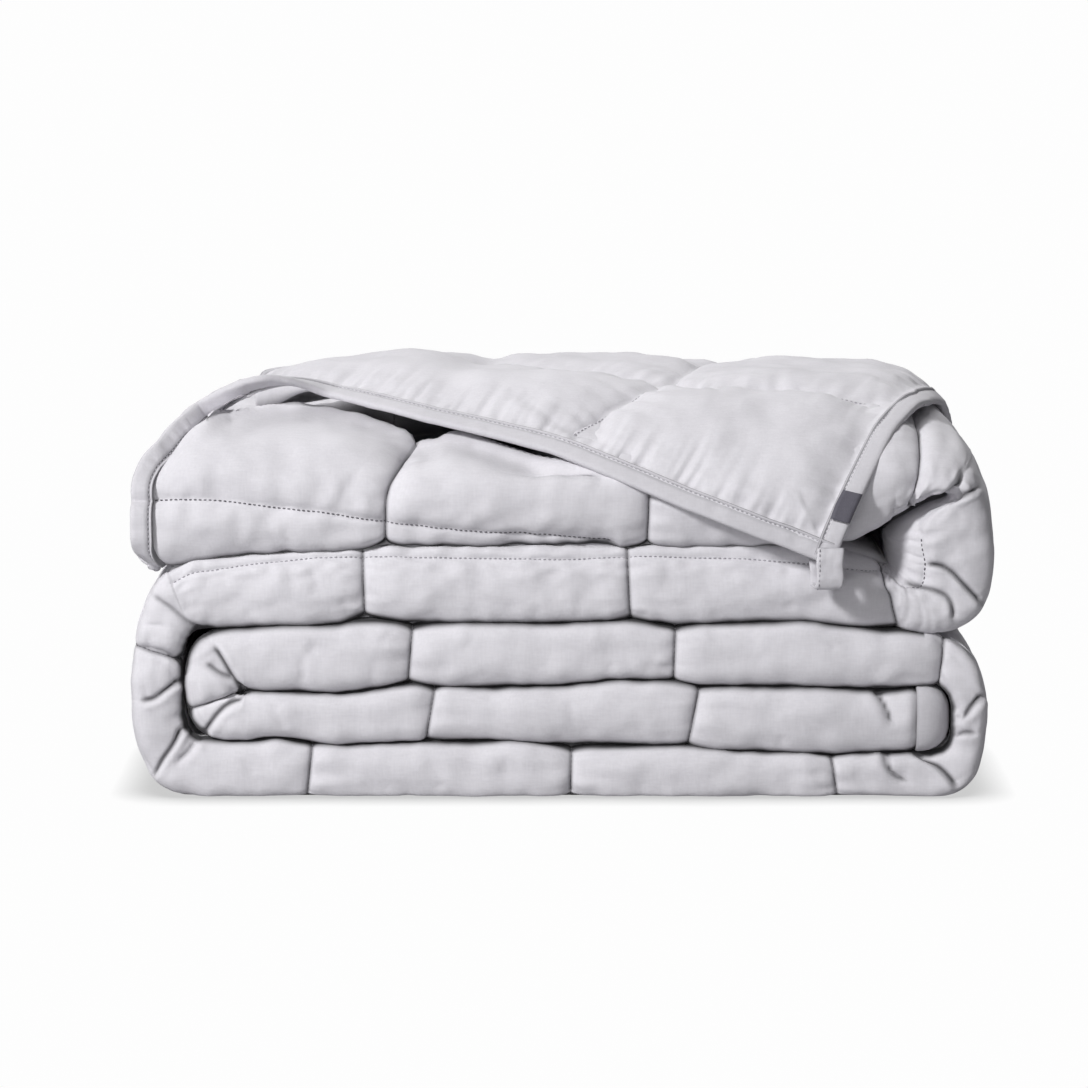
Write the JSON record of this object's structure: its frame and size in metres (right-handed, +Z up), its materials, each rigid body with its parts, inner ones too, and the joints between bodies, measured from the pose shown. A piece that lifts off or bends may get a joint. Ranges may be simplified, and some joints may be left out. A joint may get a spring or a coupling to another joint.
{
  "type": "weighted blanket",
  "caption": "Quilted weighted blanket folded into a flat stack, with bound edges and one corner turned back to show its hanging loop.",
  "frame": {"origin": "middle of the stack's own box, on the flat underside that rests on the surface", "axes": "+Z up through the layers, +X along the runs to the right as seen from the front folds, +Y away from the front folds towards the bound edges at the back"},
  "size_m": [0.3932, 0.4042, 0.1898],
  "materials": {
    "quilted_cloth": "light cool grey cotton, closely woven, quilted in squares",
    "binding_cloth": "light cool grey cotton strip, folded over the edge and topstitched",
    "dark_woven_patch": "dark grey woven ribbon, plain, with a slight satin sheen"
  },
  "bodies": {
    "root": {"quilted_body": "quilted_cloth", "end_binding": "binding_cloth", "inner_end_binding": "binding_cloth", "corner_side_binding": "binding_cloth", "long_binding_outer": "binding_cloth", "long_binding_inner": "binding_cloth", "corner_loop": "binding_cloth", "edge_patch": "dark_woven_patch"}
  },
  "joints": []
}
